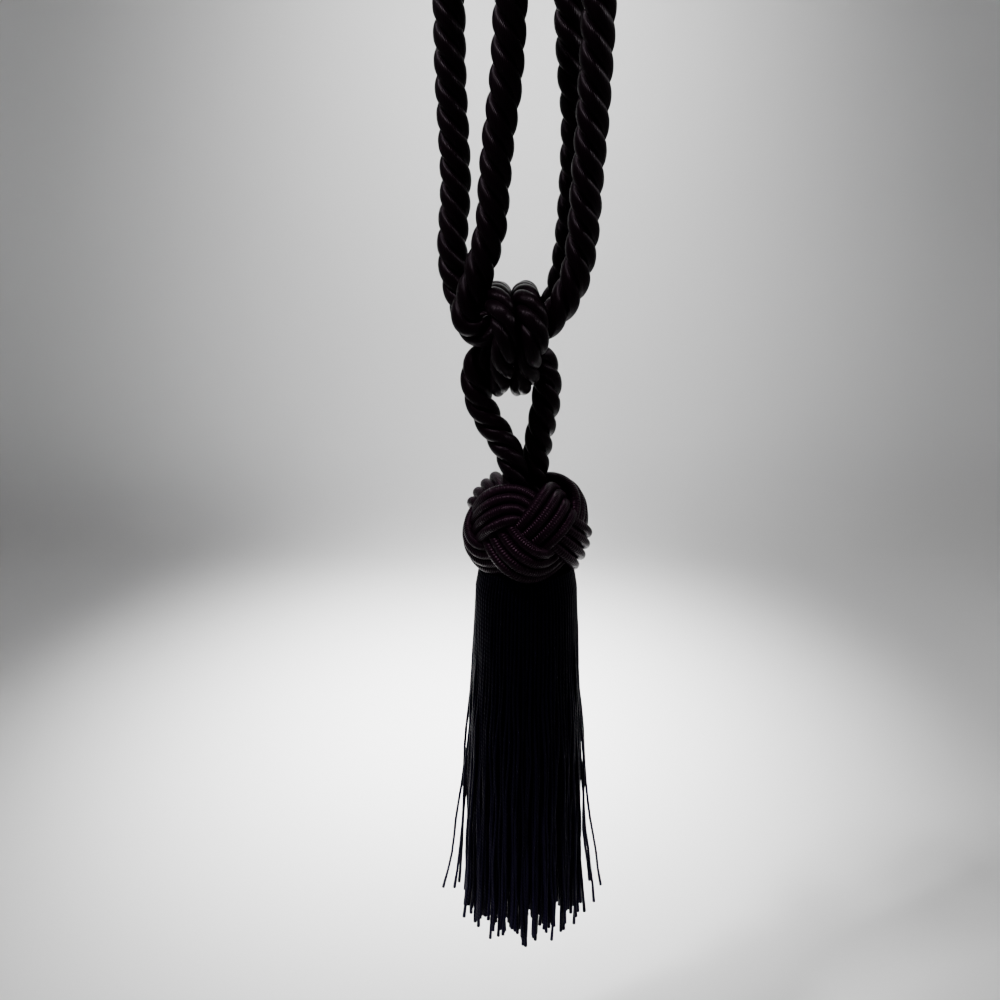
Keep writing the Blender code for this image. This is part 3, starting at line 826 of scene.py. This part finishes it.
def skirt_tree(finish, skirt, sides):
    """Cords of the skirt round lines that come in as edges with a share and a strand."""
    graph = ShapeGraph("skirt_cords")
    radius = graph.number("Cord Radius", skirt.cord)
    swell = graph.number("End Swelling", END_SWELLING)
    wobble = graph.number("Wobble", WOBBLE)
    seed = graph.number("Seed", float(skirt.seed))
    lines = Wire(graph, graph.source.outputs["Geometry"])
    curves = graph.wire("GeometryNodeMeshToCurve", {"Mesh": lines})
    share, strand = (graph.wire("GeometryNodeInputNamedAttribute", {"Name": name},
                                data_type="FLOAT") for name in ("share", "strand"))
    spot = graph.wire("GeometryNodeInputPosition")
    across = graph.vector("ADD", graph.vector("MULTIPLY", spot, WOBBLE_GRAIN),
                          graph.joined(strand * WOBBLE_APART, seed, 0.0))
    noise = graph.noise(across, 1.0, 0.0, "Color")
    away = graph.vector("SUBTRACT", noise, (0.5, 0.5, 0.5))
    flat = graph.vector("MULTIPLY", away, (1.0, 1.0, 0.0))
    moved = graph.scaled(flat, wobble * share.ease(0.0, 0.25) * 2.0)
    bent = graph.wire("GeometryNodeSetPosition", {"Geometry": curves, "Offset": moved})
    along = graph.wire("GeometryNodeSplineParameter", (), "Length")
    scale = 1.0 + swell * share.ease(*SWELLING_FROM)
    shape = tube_on(graph, bent, radius, sides, scale, along)
    return graph.end(shape, finish)


def lathe_mesh(name, profile, segments):
    """A closed form turned round an upright axis from radii and heights."""
    bm = bmesh.new()
    points = [bm.verts.new((0.0, -radius, z)) for radius, z in profile]
    edges = [bm.edges.new(pair) for pair in zip(points, points[1:])]
    bmesh.ops.spin(bm, geom=points + edges, axis=(0, 0, 1), angle=math.tau, steps=segments)
    bmesh.ops.remove_doubles(bm, verts=bm.verts, dist=0.01 * MM)
    return mesh_from(bm, name)


def skirt_radius(depth):
    """The skirt's outer radius at a depth under the ball."""
    return float(np.interp(depth / MM, *zip(*SKIRT_PROFILE))) * MM


def eased(value, low, high):
    """A smooth step from 0 at low to 1 at high."""
    t = min(1.0, max(0.0, (value - low) / (high - low)))
    return t * t * (3.0 - 2.0 * t)


def skirt_lines(settings, rings, seed, steps, with_strays):
    """Lines of the skirt's cords, gathered into clumps toward the hem."""
    rng = random.Random(seed)
    outer = settings.top_radius
    clumps = []
    for number, (ring_radius, count) in enumerate(rings):
        if number % 3 == 0:
            amount = max(3, round(settings.clumps * ring_radius / outer))
            clumps = [(math.tau * (k + rng.uniform(-0.28, 0.28)) / amount,
                       rng.uniform(-1, 1), rng.uniform(0.55, 0.95), rng.uniform(-0.8, 1.0))
                      for k in range(amount)]
            gathered = ring_radius - RING_SPACING
        yield from ring_lines(settings, rng, ring_radius, count, number, clumps, gathered,
                              steps, with_strays and number == 0)


def turn_between(first, second):
    """The shorter way from the second angle to the first."""
    return (first - second + math.pi) % math.tau - math.pi


def ring_lines(settings, rng, ring_radius, count, number, clumps, gathered, steps, strays):
    """Lines of one ring of cords, each a list of points with its random number."""
    outer = settings.top_radius
    for k in range(count):
        angle = math.tau * (k + 0.5 * (number % 2)) / count
        clump = min(clumps, key=lambda c: abs(turn_between(angle, c[0])))
        apart = turn_between(angle, clump[0])
        around = rng.uniform(-1, 1)
        outward = rng.uniform(-1, 1)
        phase = rng.uniform(0, math.tau)
        wave = rng.uniform(*WAVE_SPEED)
        cut = settings.hem_spread * (0.55 * abs(clump[1]) + 0.45 * rng.random() ** 0.7)
        if rng.random() < LONG_CORDS:
            cut = settings.hem_spread * 0.1 * rng.random()
        stray = 0.0
        if strays:
            for degrees, distance in STRAYS:
                if abs(turn_between(angle, math.radians(degrees))) <= math.pi / count:
                    stray = distance * MM
                    cut = settings.hem_spread * (0.3 + 0.5 * rng.random())
        end = settings.length - cut
        points = []
        for step in range(steps):
            depth = (end + ROOT_DEPTH) * step / (steps - 1) - ROOT_DEPTH
            share = max(0.0, depth) / settings.length
            pull = clump[2] * eased(share, 0.10, 0.85) * (0.0 if stray else 1.0)
            scale = skirt_radius(depth) / outer
            at = ring_radius + (gathered - ring_radius) * CLUMP_IN * pull
            radius = at * scale
            radius += END_OUT * outward * share
            radius += CLUMP_OUT * clump[3] * eased(share, 0.3, 1.0)
            waving = eased(share, 0.05, 0.4)
            radius += WAVE_OUT * math.sin(phase + depth * wave) * waving
            radius += stray * share ** 3
            aside = WAVE_ASIDE * math.cos(phase * 2 + depth * wave * 0.8) * waving
            turn = angle - apart * CLUMP_TOGETHER * pull
            turn += (END_ASIDE * around * share + aside) / radius
            points.append(Vector((radius * math.sin(turn), -radius * math.cos(turn),
                                  SKIRT_TOP_Z - depth)))
        yield points, rng.random()


def edges_from(name, lines):
    """Lines as edges, with their share along and one random number for each line."""
    places, edges, shares, numbers = [], [], [], []
    for points, number in lines:
        first = len(places)
        last = len(points) - 1
        places += points
        edges += [(first + k, first + k + 1) for k in range(last)]
        shares += [k / last for k in range(last + 1)]
        numbers += [number] * (last + 1)
    mesh = bpy.data.meshes.new(name)
    mesh.from_pydata(places, edges, [])
    for key, values in (("share", shares), ("strand", numbers)):
        mesh.attributes.new(key, "FLOAT", "POINT").data.foreach_set("value", values)
    return mesh


# What a user would change

def size_setting(name, text, default):
    """A size in metres."""
    return FloatProperty(name=name, description=text, default=default,
                         subtype="DISTANCE", unit="LENGTH")


def angle_setting(name, text, degrees):
    """An angle, with its default in degrees."""
    return FloatProperty(name=name, description=text, default=math.radians(degrees),
                         subtype="ANGLE")


def colour_setting(name, text, default):
    """A linear colour."""
    return FloatVectorProperty(name=name, description=text, default=default, subtype="COLOR")


def power_setting(name, text, default):
    """A lamp's power in watts."""
    return FloatProperty(name=name, description=text, default=default, unit="POWER")


class RopeSettings(bpy.types.PropertyGroup):
    """Sizes and colours of the twisted rope."""

    diameter: size_setting("Diameter", "Rope's diameter over its strands", 0.013)
    binding: size_setting("Binding Diameter",
                          "Diameter of the rope pulled tight round the knot", 0.0117)
    pitch: size_setting("Lay", "Length of one whole turn of the strands", 0.0287)
    yarns: IntProperty(name="Yarns", description="Yarns to be counted round the rope",
                       default=57, min=3)
    colour: colour_setting("Colour", "Rope's own colour", (0.0018, 0.0005, 0.0013))
    sheen: colour_setting("Sheen", "Colour of its satin sheen", (0.90, 0.66, 0.84))
    roughness: FloatProperty(name="Roughness", description="How dull the yarn is",
                             default=0.30, subtype="FACTOR")


class BallSettings(bpy.types.PropertyGroup):
    """Sizes and colours of the woven ball."""

    radius: size_setting("Radius", "Ball's radius over the upper cords", 0.0298)
    cord: size_setting("Cord Radius", "Radius of the gimp cord", 0.00245)
    pitch: size_setting("Cord Pitch", "From one cord of the band to the next", 0.0047)
    passes: IntProperty(name="Passes", description="Cords side by side in the band",
                        default=4, min=1)
    middle: angle_setting("Middle", "Latitude that the band swings about", 11)
    swing: angle_setting("Swing", "How far the band swings up and down", 33)
    start: angle_setting("Start", "Where round the ball the weave starts", -15)
    depth: size_setting("Weave Depth", "Rise and fall of a band at a crossing", 0.00285)
    rib: size_setting("Winding Pitch", "From one thread round the cord to the next", 0.00092)
    colour: colour_setting("Colour", "Gimp's own colour", (0.0028, 0.0006, 0.0021))
    sheen: colour_setting("Sheen", "Colour of its satin sheen", (1.0, 0.50, 0.80))


class SkirtSettings(bpy.types.PropertyGroup):
    """Sizes and colours of the skirt."""

    length: size_setting("Length", "From the ball to the longest ends", 0.1975)
    top_radius: size_setting("Top Radius", "Radius of the outer ring of cords", 0.0206)
    cord: size_setting("Cord Radius", "Radius of a cord", 0.00075)
    ply: size_setting("Ply Pitch", "From one ply of a cord to the next", 0.0021)
    clumps: IntProperty(name="Clumps", description="Clumps of cords round the hem",
                        default=34, min=3)
    hem_spread: size_setting("Hem Spread", "Between the longest and shortest ends", 0.016)
    seed: IntProperty(name="Seed", description="Another number lays the cords another way",
                      default=7)
    colour: colour_setting("Colour", "Cords' own colour", (0.0062, 0.0048, 0.0140))
    sheen: colour_setting("Sheen", "Colour of their sheen", (0.55, 0.50, 0.95))


class StageSettings(bpy.types.PropertyGroup):
    """Floor, backdrop and light."""

    floor: size_setting("Floor", "Height of the floor", -0.60)
    depth: size_setting("Depth", "How far behind the tieback the backdrop rises", 0.90)
    colour: colour_setting("Colour", "Colour of floor and backdrop", (0.80, 0.80, 0.80))
    front: FloatProperty(name="Front Light", description="Light from the room in front",
                         default=0.20)
    behind: FloatProperty(name="Back Light", description="Light from the room behind",
                          default=0.60)
    key: power_setting("Key Light", "Power of the lamp above at the left", 2.0)
    side: power_setting("Side Light", "Power of the lamp at the right", 0.35)
    below: power_setting("Floor Light", "Power of the lamp over the floor behind", 5.8)
    wall: power_setting("Wall Light", "Power of the lamp on the backdrop", 2.15)


# Operators

class TIEBACK_OT_stage(bpy.types.Operator):
    """Set up the camera, the pale sweep and the soft lights"""
    bl_idname = "tieback.stage"
    bl_label = "Stage"

    def execute(self, context):
        settings = context.scene.tieback_stage
        self.camera(context)
        self.sweep(settings)
        powers = (settings.key, settings.below, settings.side, settings.wall)
        for power, lamp in zip(powers, LAMPS):
            self.light(power, *lamp)
        self.room(context, settings)
        return {"FINISHED"}

    @staticmethod
    def camera(context):
        """A camera that looks a little down on the tieback."""
        data = bpy.data.cameras.new("camera")
        data.sensor_width = SENSOR
        data.sensor_fit = "HORIZONTAL"
        data.lens = SENSOR / 2 / math.tan(math.radians(CAMERA_VIEW / 2))
        data.clip_start = 0.01
        camera = bpy.data.objects.new("camera", data)
        camera.location = CAMERA_PLACE
        camera.rotation_euler = (math.radians(CAMERA_TILT), 0.0, 0.0)
        context.scene.collection.objects.link(camera)
        context.scene.camera = camera

    @staticmethod
    def sweep(settings):
        """The floor and its rise into a backdrop."""
        start = settings.depth - SWEEP_BEND
        profile = [(SWEEP_FRONT, settings.floor)]
        for k in range(SWEEP_STEPS + 1):
            angle = math.pi / 2 * k / SWEEP_STEPS
            profile.append((start + SWEEP_BEND * math.sin(angle),
                            settings.floor + SWEEP_BEND * (1.0 - math.cos(angle))))
        profile.append((settings.depth, SWEEP_TOP))
        bm = bmesh.new()
        rows = [[bm.verts.new((x, y, z)) for y, z in profile] for x in (-SWEEP_SIDE, SWEEP_SIDE)]
        for k in range(len(profile) - 1):
            bm.faces.new((rows[0][k], rows[1][k], rows[1][k + 1], rows[0][k + 1]))
        mesh = bpy.data.meshes.new("sweep")
        bm.to_mesh(mesh)
        bm.free()
        mesh.shade_smooth()
        finish = plain_finish("sweep_paper", settings.colour, 0.85, 400.0, 0.0002)
        add_piece(mesh, finish)

    @staticmethod
    def room(context, settings):
        """Light from all round, stronger from behind."""
        world = bpy.data.worlds.new("soft_room")
        context.scene.world = world
        world.use_nodes = True
        graph = Graph(world.node_tree)
        behind = graph.split(graph.wire("ShaderNodeTexCoord"))[1].ease(-0.5, 0.6)
        front, back = (rgba((level,) * 3) for level in (settings.front, settings.behind))
        sky = world.node_tree.nodes["Background"]
        graph.link(graph.blend(behind, front, back), sky.inputs["Color"])

    @staticmethod
    def light(power, name, place, size, target, spread):
        """A square soft light that looks at a target."""
        data = bpy.data.lights.new(name, "AREA")
        data.size = size
        data.energy = power
        data.spread = math.radians(spread)
        lamp = bpy.data.objects.new(name, data)
        lamp.visible_camera = False
        lamp.location = place
        lamp.rotation_euler = (Vector(target) - Vector(place)).to_track_quat("-Z", "Y").to_euler()
        bpy.context.scene.collection.objects.link(lamp)


class TIEBACK_OT_embrace_rope(bpy.types.Operator):
    """Lay the doubled rope that goes round the curtain, with its two eyes"""
    bl_idname = "tieback.embrace_rope"
    bl_label = "Embrace Rope"

    def execute(self, context):
        rope = context.scene.tieback_rope
        line = embrace_line()
        lay_rope(rope, "embrace_rope", line, path_from_knot(line), rope.diameter,
                 lambda along: UNIT)
        return {"FINISHED"}


class TIEBACK_OT_hanger_loop(bpy.types.Operator):
    """Lay the short loop that carries the ball and the skirt"""
    bl_idname = "tieback.hanger_loop"
    bl_label = "Hanger Loop"

    def execute(self, context):
        rope = context.scene.tieback_rope
        line = pressed_leg(smooth_line(in_metres(HANGER_ROUTE), closed=False))
        reach = LEG_SQUEEZE_LENGTH / line_length(line)

        def scale_at(along):
            inside = max(0.0, 1.0 - min(along, 1.0 - along) / reach)
            return UNIT * (1.0 + (LEG_SQUEEZE - 1.0) * min(1.0, 1.6 * inside))

        lay_rope(rope, "hanger_loop", line, line, rope.diameter, scale_at)
        return {"FINISHED"}


class TIEBACK_OT_rope_binding(bpy.types.Operator):
    """Wind the two turns that bind the rope's bend and the hanger loop"""
    bl_idname = "tieback.rope_binding"
    bl_label = "Binding"

    def execute(self, context):
        rope = context.scene.tieback_rope
        rows = binding_rows(rope.diameter, rope.binding)
        line, scales = (list(column) for column in zip(*rows))

        def scale_at(along):
            place = along * len(rows)
            k = int(place)
            return scales[k % len(rows)].lerp(scales[(k + 1) % len(rows)], place - k)

        lay_rope(rope, "rope_binding", line, line + line[:1], rope.binding, scale_at)
        return {"FINISHED"}


class TIEBACK_OT_woven_ball(bpy.types.Operator):
    """Weave the ball of gimp cord on its dark core"""
    bl_idname = "tieback.woven_ball"
    bl_label = "Woven Ball"

    def execute(self, context):
        ball = context.scene.tieback_ball
        length = round(WEAVE_LENGTH / ball.rib) * ball.rib
        weave = run_nodes("turks_head_weave", weave_tree(gimp_cord(ball), ball, length),
                          bpy.data.meshes.new("turks_head_weave"))
        close_lay(weave.data, length)
        stand_for(weave, "turks_head")
        core = ball.radius - ball.cord * 2 - ball.depth
        flat = BALL_FLAT - CORE_LIFT
        profile = [(0.0, BALL_Z - flat)]
        low = -math.asin(flat / core)
        high = math.acos(WELL_MOUTH / core)
        for k in range(CORE_STEPS + 1):
            angle = low + (high - low) * k / CORE_STEPS
            profile.append((core * math.cos(angle), BALL_Z + core * math.sin(angle)))
        profile += [(WELL_FOOT, WELL_FLOOR_Z + WELL_DISH), (0.0, WELL_FLOOR_Z)]
        mesh = lathe_mesh("turks_head_core", profile, CORE_SEGMENTS)
        dark = plain_finish("core_thread", ball.colour * 0.35, 0.8, 900.0, 0.0004)
        stand_for(add_piece(mesh, dark), "turks_head")
        return {"FINISHED"}


class TIEBACK_OT_skirt(bpy.types.Operator):
    """Hang the cords of the skirt under the ball"""
    bl_idname = "tieback.skirt"
    bl_label = "Skirt"

    def execute(self, context):
        skirt = context.scene.tieback_skirt
        finish = skirt_cord(skirt)
        rings = []
        radius = skirt.top_radius + RING_OUT
        while radius > RING_LEAST:
            rings.append((radius, int(math.tau * radius / (skirt.cord * CORD_SPACING))))
            radius -= RING_SPACING
        for name, part, steps, sides, strays in SKIRT_LAYERS:
            some = rings[part]
            lines = skirt_lines(skirt, some, skirt.seed + len(some), steps, strays)
            piece = run_nodes(name, skirt_tree(finish, skirt, sides), edges_from(name, lines))
            close_lay(piece.data)
            stand_for(piece, "skirt")
        return {"FINISHED"}


OPERATORS = (
    TIEBACK_OT_stage,
    TIEBACK_OT_embrace_rope,
    TIEBACK_OT_hanger_loop,
    TIEBACK_OT_rope_binding,
    TIEBACK_OT_woven_ball,
    TIEBACK_OT_skirt,
)
SETTINGS = {
    "tieback_rope": RopeSettings,
    "tieback_ball": BallSettings,
    "tieback_skirt": SkirtSettings,
    "tieback_stage": StageSettings,
}


class TIEBACK_PT_sidebar(bpy.types.Panel):
    """Lists the tieback's pieces and their sizes"""
    bl_idname = "TIEBACK_PT_sidebar"
    bl_label = "Curtain Tieback"
    bl_space_type = "VIEW_3D"
    bl_region_type = "UI"
    bl_category = "Tieback"

    def draw(self, context):
        for operator in OPERATORS:
            self.layout.operator(operator.bl_idname)
        for key, group in SETTINGS.items():
            box = self.layout.box()
            box.label(text=group.__doc__)
            for name in group.__annotations__:
                box.prop(getattr(context.scene, key), name)


def register():
    """Register the settings, the operators and the panel."""
    for made in (*SETTINGS.values(), *OPERATORS, TIEBACK_PT_sidebar):
        bpy.utils.register_class(made)
    for key, group in SETTINGS.items():
        setattr(bpy.types.Scene, key, PointerProperty(type=group))


def unregister():
    """Take them away again."""
    for key in SETTINGS:
        delattr(bpy.types.Scene, key)
    for made in (TIEBACK_PT_sidebar, *reversed(OPERATORS), *SETTINGS.values()):
        bpy.utils.unregister_class(made)


def main():
    """Make every piece in order."""
    register()
    for operator in OPERATORS:
        family, name = operator.bl_idname.split(".")
        getattr(getattr(bpy.ops, family), name)()


if __name__ == "__main__":
    main()
